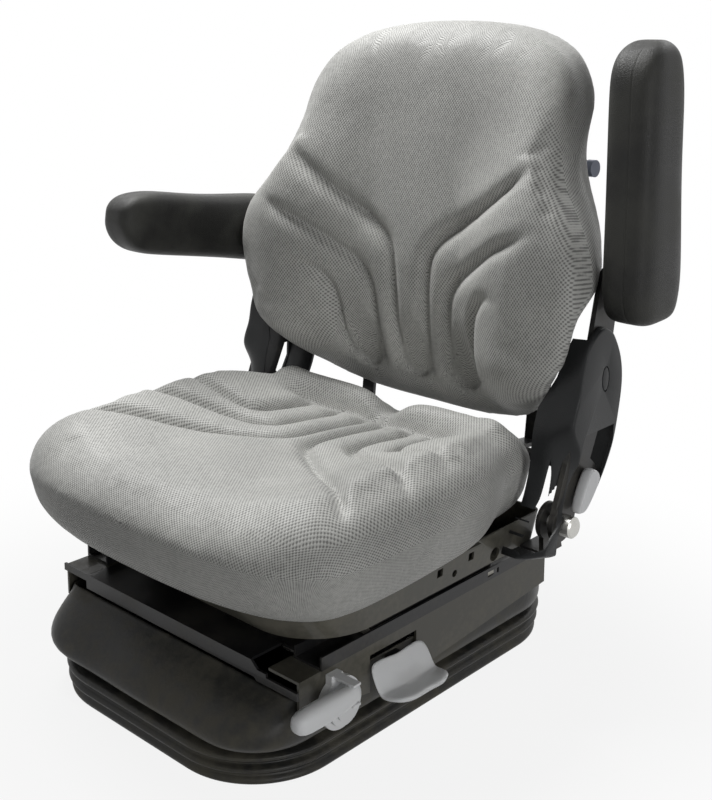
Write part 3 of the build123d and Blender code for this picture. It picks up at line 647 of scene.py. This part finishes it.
back_middle = eased([(255, 200), (280, 192), (310, 178), (350, 165), (400, 154), (440, 149), (480, 150),
                     (540, 153), (600, 157), (660, 164), (710, 174), (745, 184)])
back_bolster = eased([(255, 2), (278, 14), (300, 40), (335, 60), (370, 56), (410, 54), (440, 55), (490, 55),
                      (530, 46), (570, 32), (610, 18), (660, 8), (745, 3)])
back_roll = eased([(0, 1.0), (0.05, 0.74), (0.14, 0.50), (0.3, 0.25), (0.55, 0.07), (1.0, 0.0)])
BACK_REAR = 231.5
BACK_FRONT = (1.0, 0.994, 0.984, 0.97, 0.95, 0.92, 0.88, 0.83, 0.77, 0.69, 0.58, 0.46, 0.32, 0.18, 0.06)
BACK_ROLL = 34  # how far in from its rim the backrest's edge is rounded


def back_depth(x, z):
    """How far back the backrest's front surface is, before its edge rolls over."""
    return back_middle(z) - back_bolster(z) * step(np.abs(x), 62, 192)


def back_rings():
    """From the narrower rear edge forward to the side wall, and round its edge over the front."""
    front_outline = even(round_curve(both_sides(BACK_HALF, 262, 739), 1000), 320)
    rear_outline = even(round_curve(both_sides(REAR_HALF, 262, 738), 1000), 320)
    middle = np.array([0, 480.0])
    height = front_outline[:, 1]
    edge = np.minimum(back_depth(*front_outline.T) + 16, BACK_REAR - 24)
    wall = np.minimum(edge + 4 + 36 * step(height, 400, 460), BACK_REAR - 22)
    hold = 0.8 + 0.7 * step(height, 395, 450)
    rings = []
    for y, inset in ((BACK_REAR, 14), (BACK_REAR - 1, 8), (BACK_REAR - 4, 3)):
        pulled = middle + (rear_outline - middle) * (1 - inset / 220)
        rings.append(np.column_stack([pulled[:, 0], np.full(len(pulled), y), pulled[:, 1]]))
    for share in (0.92, 0.80, 0.66, 0.50, 0.34, 0.18, 0.08, 0.0):
        reach = share ** hold
        pulled = front_outline + (rear_outline - front_outline) * reach[:, None]
        rings.append(np.column_stack([pulled[:, 0], wall + (BACK_REAR - wall) * share, pulled[:, 1]]))
    rings.append(np.column_stack([front_outline[:, 0], (wall + edge) / 2, height]))
    for share in BACK_FRONT:
        pulled = middle + (front_outline - middle) * share
        gap, _ = distance_to(np.vstack([front_outline, front_outline[:1]]), pulled)
        front = back_depth(*pulled.T)
        y = front + (edge - front) * back_roll(gap / BACK_ROLL)
        rings.append(np.column_stack([pulled[:, 0], y, pulled[:, 1]]))
    return rings


backrest = skin("backrest_cushion_cover", back_rings(), cloth)
moved = puff(backrest, VOXEL, lambda p: PUFF_CAP * (1 - step(p[:, 1], 190, 224)))
print("backrest:", len(backrest.data.vertices), "points, puffed at most", round(moved, 1), "mm, uncapped")

# %% [markdown]
# Three grooves a side fan out from the shoulders and run down the middle, and three pockets end them near
# the lower edge. The rows of the table are (x, z). When they are pressed in and the cloth is laid, the
# whole cushion leans back about the pivot.

# %% Backrest grooves, pockets and lean
BACK_FANS = [
    [(186, 572), (168, 554), (138, 532), (100, 508), (66, 488), (42, 470), (30, 448), (26, 410), (24, 350),
     (22, 312)],
    [(204, 500), (186, 490), (150, 474), (112, 452), (84, 434), (68, 416), (60, 392), (57, 350), (55, 312)],
    [(160, 420), (146, 421), (130, 414), (116, 398), (109, 374), (106, 340), (103, 312)],
]
PIVOT = Vector((0, 0.136, 0.187))
LEAN_BACK = Matrix.Rotation(math.radians(-6), 4, "X")
LEAN = Matrix.Translation(PIVOT) @ LEAN_BACK @ Matrix.Translation(-PIVOT)


def press_back(piece):
    points = points_of(piece) / MM
    plan = points[:, [0, 2]].copy()
    plan[:, 0] = np.abs(plan[:, 0])
    facing = 1 - step(points[:, 1], 200, 222)
    drop = np.zeros(len(points))
    for fan, half_width in zip(BACK_FANS, (11, 10, 9)):
        drop = np.maximum(drop, groove_depth(fan, plan, half_width, 14.0, 50))
    for centre, half in ((0, 17), (80, 18)):
        inside = step(half + 6 - np.abs(plan[:, 0] - centre), 0, 7)
        end = step(plan[:, 1] - 292 - 0.02 * (plan[:, 0] - centre) ** 2, 0, 9)
        fade = 1 - step(plan[:, 1], 318, 392)
        drop = np.maximum(drop, 14 * inside * end * fade)
    points[:, 1] += soften(piece, drop * facing, 2)
    move_points(piece, points * MM)


press_back(backrest)
lay_cloth(backrest, [0, 2], 1, 0.150, 0.195, -1)
backrest.data.transform(LEAN)
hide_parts("backrest_cushion")
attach(backrest, "backrest")
print("backrest leaned back; top at", round(points_of(backrest)[:, 2].max() / MM), "mm")

# %% [markdown]
# ## Armrest pads
# A pad is a bar of foam with a soft skin, round at its edges and ends, and thicker under its rear. Each
# ring is a rounded square, and the rings shrink fast near the two ends, so that the ends are domed. A
# fine parting line of the mould runs round it.

# %% Armrest pads
def rounded_ring(y, half_x, low, high, squareness=4.0, count=64):
    """A rounded rectangle across the pad at a place along it."""
    angle = np.linspace(0, 2 * math.pi, count, endpoint=False)
    c, s = np.cos(angle), np.sin(angle)
    size = (np.abs(c) ** squareness + np.abs(s) ** squareness) ** (-1 / squareness)
    middle, half_z = (low + high) / 2, (high - low) / 2
    return np.column_stack([c * size * half_x, np.full(count, y), middle + s * size * half_z])


arm_top = eased([(-265, 24), (-254, 32), (-236, 36.5), (-120, 38), (20, 38), (32, 33)])
arm_bottom = eased([(-265, -12), (-256, -25), (-240, -36), (-200, -41), (-130, -42), (-40, -45), (12, -46),
                    (30, -38)])
ARM_RINGS = [  # place along the pad, share of its full section
    (-265, 0.35), (-264, 0.52), (-261, 0.70), (-255, 0.85), (-246, 0.94), (-231, 0.985), (-204, 1), (-140, 1),
    (-80, 1), (-20, 1), (4, 1), (20, 0.985), (27, 0.94), (31, 0.86), (34, 0.70), (35, 0.5),
]
ARM_HALF_WIDTH = 29.8
ARM_PIVOT = (295.5, 217, 443)


def arm_pad(name, side, turn):
    """One pad round its pivot, then turned and set in its place."""
    rings = []
    for y, share in ARM_RINGS:
        low, high = arm_bottom(y), arm_top(y)
        middle, half = (low + high) / 2, (high - low) / 2
        rings.append(rounded_ring(y, ARM_HALF_WIDTH * share, middle - half * share, middle + half * share))
    pad = skin(name, rings, arm_skin)
    subdivide(pad, 2)
    points = points_of(pad) / MM
    line = np.abs(points[:, 0] - 4 * side)
    height = np.abs(points[:, 2])
    points[:, 2] -= np.sign(points[:, 2]) * 0.5 * np.exp(-(line / 0.8) ** 2) * step(height, 10, 20)
    turned = Matrix.Rotation(math.radians(turn), 4, "X")
    x, y, z = ARM_PIVOT
    place = Matrix.Translation((side * x * MM, y * MM, z * MM)) @ turned
    move_points(pad, points * MM)
    pad.data.transform(place)
    return pad


left_arm = arm_pad("armrest_pad_left", 1, -88)
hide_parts("armrest_left")
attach(left_arm, "armrest_left")
right_arm = arm_pad("armrest_pad_right", -1, -8.6)
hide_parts("armrest_right")
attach(right_arm, "armrest_right")
print("armrests:", len(left_arm.data.vertices), "points each")

# %% [markdown]
# ## Recliner covers
# A moulded cover hides each recliner. Seen from the side its front edge swings in and out, and its front
# face turns into the outer face over a wide soft edge. It is a skin between two measured outlines, then
# hollowed and opened by boolean cuts, as the CAD solid is: the window round the bolt and the lever, the
# slope that leaves room for the foam, and an oval mark on the outer face. The outlines are (y, z).

# %% Cover outlines
COVER_INNER = [(82, 158), (94, 176), (106, 192), (120, 212), (130, 242), (133, 266), (137, 290), (150, 326),
               (158, 352), (170, 380), (184, 395), (196, 399), (210, 395), (222, 386), (237, 360),
               (241, 330), (236, 296), (226, 262), (212, 236), (196, 214), (170, 180), (150, 155),
               (112, 153)]
COVER_OUTER = [(92, 166), (103, 179), (118, 190), (134, 211), (149, 240), (152, 266), (140, 297), (150, 326),
               (156, 352), (167, 380), (183, 394), (196, 398), (209, 394), (220, 385), (234, 360),
               (239, 332), (235, 298), (226, 262), (212, 236), (197, 216), (171, 184), (150, 160),
               (116, 158)]
COVER_WINDOW = [(112, 140), (116, 176), (122, 192), (134, 214), (147, 240), (158, 262), (166, 282),
                (223, 282), (222, 263), (208, 238), (194, 216), (216, 216), (216, 140)]
COVER_RINGS = [  # x, share of the way from the inner to the outer outline, inset
    (215.6, 0, 0), (234, 0, 0), (244, 0.22, 0), (252, 0.55, 0), (258, 0.82, 0), (261.5, 0.95, 0.3),
    (263.4, 1, 1.2), (264.3, 1, 2.8), (264.5, 1, 5),
]
HOLLOW_RINGS = [(214, 0, 0), (240, 0, 0), (252, 0.5, 0), (258, 0.85, 0), (261, 1, 0)]
COVER_SHEET = 3.2
TOP_NOTCH = [(174, 371), (238, 371), (238, 402), (174, 402)]
FOAM_SLOPE = [(214, 306), (231.5, 345), (241.5, 405), (214, 405)]  # (x, z)
OVAL_RINGS = [(7.6, 15, 263.3), (7.6, 15, 266), (6, 13, 266), (6, 13, 263.3)]  # half y, half z, x


def along_x(points, x):
    """Points in side view, as places in the seat's frame at x."""
    points = np.asarray(points, float)
    return np.column_stack([np.full(len(points), float(x)), points])


def prism(points, x0, x1):
    """A straight cutter through a side view."""
    return skin("cutter", [along_x(points, x0), along_x(points, x1)], cover_plastic)


def carve(piece, cutter):
    """Cuts one closed skin out of another."""
    cut = piece.modifiers.new("cut", "BOOLEAN")
    cut.operation = "DIFFERENCE"
    cut.solver = "EXACT"
    cut.object = cutter
    bake(piece)
    bpy.data.objects.remove(cutter)


def cover_skin(name, shrink, stations):
    """The skin between the two outlines, shrunk a little all round for the hollow."""
    inner = round_curve(COVER_INNER, 184)
    outer = round_curve(COVER_OUTER, 184)
    rings = []
    for x, share, inset in stations:
        outline = inner + (outer - inner) * share
        centre = outline.mean(axis=0)
        reach = np.linalg.norm(outline - centre, axis=1, keepdims=True)
        rings.append(along_x(centre + (outline - centre) * (1 - (inset + shrink) / reach), x))
    return skin(name, rings, cover_plastic)


# %% [markdown]
# Each cut is a closed skin of its own, taken out with an exact boolean. The right cover is the left one
# mirrored. A mirrored mesh is inside out, so its faces are flipped back.

# %% Covers
def side_cover(name, side):
    cover = cover_skin(name, 0, COVER_RINGS)
    carve(cover, cover_skin("hollow", COVER_SHEET, HOLLOW_RINGS))
    carve(cover, prism(COVER_WINDOW, 213, 268))
    carve(cover, prism(TOP_NOTCH, 213, 258))
    wedge = [np.array([(x, y, z) for x, z in FOAM_SLOPE]) for y in (80, 260)]
    carve(cover, skin("cutter", wedge, cover_plastic))
    turn = np.linspace(0, 2 * math.pi, 48, endpoint=False)
    ovals = []
    for half_y, half_z, x in OVAL_RINGS:
        ovals.append(along_x(np.column_stack([202 + half_y * np.cos(turn), 339 + half_z * np.sin(turn)]), x))
    carve(cover, skin("cutter", ovals, cover_plastic, tube=True))
    soft_edge(cover, 0.0006, 35)
    bake(cover)
    if side < 0:
        cover.data.transform(Matrix.Scale(-1, 4, (1, 0, 0)))
        cover.data.flip_normals()
    cover.data.shade_smooth()
    cover.data.set_sharp_from_angle(angle=math.radians(35))
    return cover


for side_name, side in (("left", 1), ("right", -1)):
    cover = side_cover("recliner_cover_" + side_name, side)
    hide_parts("side_cover_" + side_name)
    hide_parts("inner_cap_" + side_name)
    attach(cover, "backrest")
    print("cover", side_name, len(cover.data.polygons), "faces")

# %% [markdown]
# ## Pale levers
# The moulded levers are pebbles: each is an outline that shrinks over its upper and lower faces, so that
# its edge is round all the way. The slide lever is a broad paddle that bends up to the frame at its root.
# The recline lever is a thumb of the same plastic: it is made lying flat as (y, z), and a matrix that
# swaps the axes stands it on the outer side of the recliner.

# %% Levers
PEBBLE_RINGS = [  # share of the outline, height over the middle
    (0.2, -1), (0.6, -1), (0.84, -1), (0.93, -0.9), (0.98, -0.55), (1.0, 0), (0.98, 0.55), (0.93, 0.9),
    (0.84, 1), (0.6, 1), (0.2, 1),
]


def pebble(name, outline, thick, bend, finish, count=96):
    """A rounded tablet with its outline in plan, raised by bend(x, y) at each point."""
    rim = even(round_curve(outline, 400), count)
    middle = rim.mean(axis=0)
    rings = []
    for share, height in PEBBLE_RINGS:
        pulled = middle + (rim - middle) * share
        rings.append(np.column_stack([pulled, bend(*pulled.T) + height * thick / 2]))
    return skin(name, rings, finish)


def paddle_bend(x, y):
    """The paddle's height: up at its root, nearly level under the hand, and dipped at its front corner."""
    return 67 + 27 * (1 - step(x, 191, 213)) + 3 * step(x, 214, 236) - 0.03 * (y + 66)


PADDLE = [(194.6, -104), (194.6, -66), (194.6, -28), (212, -23), (230, -27), (239.5, -44), (239.6, -66),
          (239.5, -92), (232, -106), (212, -109)]
paddle = pebble("slide_lever_paddle", PADDLE, 5.5, paddle_bend, lever_plastic)
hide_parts("fore_aft_lever")
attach(paddle, "fore_aft_lever")

THUMB = [(147, 200), (150, 213), (160, 232), (170, 243), (182, 240), (186, 230), (178, 218), (164, 203),
         (155, 198)]
THUMB_X = 266.4
thumb = pebble("recline_lever_thumb", THUMB, 13, lambda y, z: np.full(len(y), THUMB_X), lever_plastic, 72)
thumb.data.transform(Matrix(((0, 0, 1, 0), (1, 0, 0, 0), (0, 1, 0, 0), (0, 0, 0, 1))))
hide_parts("recline_lever")
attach(thumb, "recline_lever")
print("levers:", len(paddle.data.vertices) + len(thumb.data.vertices), "points")


# %% [markdown]
# The crank's handle is a tapered bar with a domed end, over the hub that its CAD node keeps. It is
# fuller in its middle and flat over its eye.

# %% Crank handle
HANDLE_RINGS = [  # y, half width, half height
    (-237, 2.5, 2.5), (-236, 6, 6), (-233, 8.6, 8.8), (-228, 10.2, 10.6), (-220, 10.8, 11.6),
    (-205, 10.9, 11.8), (-190, 10.6, 11.4), (-176, 9.6, 10.6), (-166, 8.4, 9.6), (-158, 7.0, 8.9),
    (-153, 5.6, 8.4), (-151.4, 3.0, 5.0),
]
HANDLE_X = 219.6
HANDLE_Z = 97


def crank_handle():
    rings = []
    for y, half_x, half_z in HANDLE_RINGS:
        ring = rounded_ring(y, half_x, HANDLE_Z - half_z, HANDLE_Z + half_z, 2.4, 40)
        rings.append(ring + np.array([HANDLE_X, 0, 0]))
    return skin("crank_handle", rings, lever_plastic)


handle = crank_handle()
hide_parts("crank_grip")
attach(handle, "crank_grip")
print("crank handle:", len(handle.data.vertices), "points")

# %% [markdown]
# ## Bellows
# The rubber bellows hangs from the suspension frame and ends in a bead over the base plate. Its folds
# are rings of a rounded rectangle that swell and pinch, and its inner skin is the same rings, 2.4 mm
# farther in.

# %% Bellows
def bellows_ring(half_x, front, rear, corner, z, count=200):
    """A rounded rectangle from -front to rear, rounder behind, with its points at equal distances."""
    turns = []
    wide = corner + (min(96, corner * 1.7) - corner) * step(z, 34, 46)
    corners = (
        (half_x - wide, rear - wide, wide, 0), (wide - half_x, rear - wide, wide, 90),
        (corner - half_x, corner - front, corner, 180), (half_x - corner, corner - front, corner, 270),
    )
    for cx, cy, radius, start in corners:
        angle = np.radians(np.linspace(start, start + 90, 24))
        turns.append(np.column_stack([cx + radius * np.cos(angle), cy + radius * np.sin(angle)]))
    return np.column_stack([even(np.vstack(turns), count), np.full(count, float(z))])


BELLOWS = [  # height, half width, front, rear, corner
    (1.0, 180, 252, 268, 97), (4.0, 181, 253, 269, 97), (7.0, 180, 252, 268, 97),
    (9.5, 176, 249, 265, 96), (12.0, 177, 250, 266, 96), (15.0, 181, 255, 271, 96),
    (18.0, 182, 256, 272, 96), (20.5, 178, 252, 268, 96), (22.5, 175, 249, 265, 96),
    (25.0, 178, 252, 268, 96), (29.0, 183, 256, 272, 96), (32.5, 183, 256, 272, 95),
    (35.0, 174, 247, 263, 90), (37.0, 169, 241, 257, 86), (39.0, 173, 244, 259, 80),
    (42.0, 181, 251, 266, 72), (47.0, 185.5, 256, 269, 62), (54.0, 186.3, 257, 268, 54),
    (62.0, 186.3, 253, 261, 50), (70.0, 186.2, 245, 251, 46), (78.0, 186.2, 232, 237, 38),
    (86.0, 186.0, 216, 219, 28), (91.0, 186.0, 206, 207, 18), (94.0, 186.0, 202.5, 203, 14),
]
RUBBER = 2.4


def slack(ring):
    """The big upper fold sags in and out a little along its length, as soft rubber does."""
    x, y, z = ring.T
    amount = step(z, 42, 54) * (1 - step(z, 76, 90))
    shift = np.sin(x / 47 + 0.8) * 1.6 + np.sin(x / 19 + y / 60) * 0.7 - 1.4
    sign = np.sign(y)
    return np.column_stack([x, y + sign * amount * shift, z - amount * np.sin(x / 70 + 1.9) * 1.5])


def bellows():
    outer = [bellows_ring(hx, front, rear, corner, z) for z, hx, front, rear, corner in BELLOWS]
    inner = [bellows_ring(hx - RUBBER, front - RUBBER, rear - RUBBER, max(corner - RUBBER, 6), z)
             for z, hx, front, rear, corner in reversed(BELLOWS)]
    rubber = skin("suspension_bellows", [slack(ring) for ring in outer + inner], gaiter_rubber, tube=True)
    subdivide(rubber, 1)
    return rubber


rubber = bellows()
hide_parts("gaiter")
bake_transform(rubber)
print("bellows:", len(rubber.data.vertices), "points")

# %% [markdown]
# ## Floor and light
# A plain floor stands in for the photographer's sheet. To the camera, and to reflections, it is nearly
# white near the seat, with a trace of the seat's shadow, and plain white farther out. To soft light it is
# a mid grey, so that it doesn't light the black base from below.

# %% Floor
FLOOR_REACH = 8.0
FLOOR_Z = -0.001


def studio_floor():
    mesh = bpy.data.meshes.new("studio_floor")
    signs = ((-1, -1), (1, -1), (1, 1), (-1, 1))
    corners = [(FLOOR_REACH * x, FLOOR_REACH * y, FLOOR_Z) for x, y in signs]
    mesh.from_pydata(corners, [], [(0, 1, 2, 3)])
    pale = Finish("floor_paint", (0.3, 0.3, 0.3), 0.9)
    white = pale.node("ShaderNodeEmission", None, {"Color": (1, 1, 1, 1), "Strength": 1.0})
    rays = pale.tree.nodes.new("ShaderNodeLightPath")
    seen = Wire(pale, rays.outputs["Is Camera Ray"])
    for other in ("Is Glossy Ray", "Is Transmission Ray"):
        seen = seen.maths("MAXIMUM", Wire(pale, rays.outputs[other]))
    away = pale.node("ShaderNodeVectorMath", {"operation": "LENGTH"}, {0: pale.place()}, out=1)
    factor = seen * pale.ramp(away, 0.3, 0.75, 0.88, 1.0)
    mixed = pale.node("ShaderNodeMixShader", None, {0: factor})
    pale.tree.links.new(pale.shader.outputs[0], mixed.socket.node.inputs[1])
    pale.tree.links.new(white.socket, mixed.socket.node.inputs[2])
    pale.tree.links.new(mixed.socket, pale.tree.nodes["Material Output"].inputs["Surface"])
    floor = add_object("studio_floor", mesh, pale.material)
    return floor


print("floor:", studio_floor().name)

# %% [markdown]
# One lamp high on the left gives the soft glare on the top of the seat and leaves the backrest's front
# darker. A weaker one from the right opens up the black side of the base, and one from behind draws a
# thin edge of light. The world is white where it is seen or reflected, and almost dark otherwise.

# %% Lamps and world
def soft_lamp(name, place, aim, size, power):
    lamp = bpy.data.lights.new(name, "AREA")
    lamp.shape = "SQUARE"
    lamp.size = size
    lamp.energy = power
    holder = bpy.data.objects.new(name, lamp)
    holder.location = place
    holder.rotation_mode = "QUATERNION"
    holder.rotation_quaternion = (Vector(aim) - Vector(place)).to_track_quat("-Z", "Y")
    bpy.context.scene.collection.objects.link(holder)


soft_lamp("window_lamp", (-0.95, 0.1, 2.15), (0, -0.05, 0.25), 0.7, 56)
soft_lamp("right_lamp", (1.9, -0.7, 0.7), (0, 0, 0.1), 0.8, 12)
soft_lamp("rear_lamp", (0.2, 1.8, 1.9), (0, 0, 0.4), 1.2, 12)

world = bpy.data.worlds.new("pale_room")
world.use_nodes = True
bpy.context.scene.world = world
sky = world.node_tree
rays = sky.nodes.new("ShaderNodeLightPath")
seen = rays.outputs["Is Camera Ray"]
for other in ("Is Transmission Ray", "Is Glossy Ray"):
    either = sky.nodes.new("ShaderNodeMath")
    either.operation = "MAXIMUM"
    sky.links.new(seen, either.inputs[0])
    sky.links.new(rays.outputs[other], either.inputs[1])
    seen = either.outputs[0]
strength = sky.nodes.new("ShaderNodeMapRange")
sky.links.new(seen, strength.inputs["Value"])
strength.inputs["To Min"].default_value = 0.03
strength.inputs["To Max"].default_value = 1.0
sky.links.new(strength.outputs[0], sky.nodes["Background"].inputs["Strength"])
sky.nodes["Background"].inputs["Color"].default_value = (1, 1, 1, 1)
bpy.context.scene.view_settings.view_transform = "Standard"
print("lamps:", [light.name for light in bpy.data.lights])
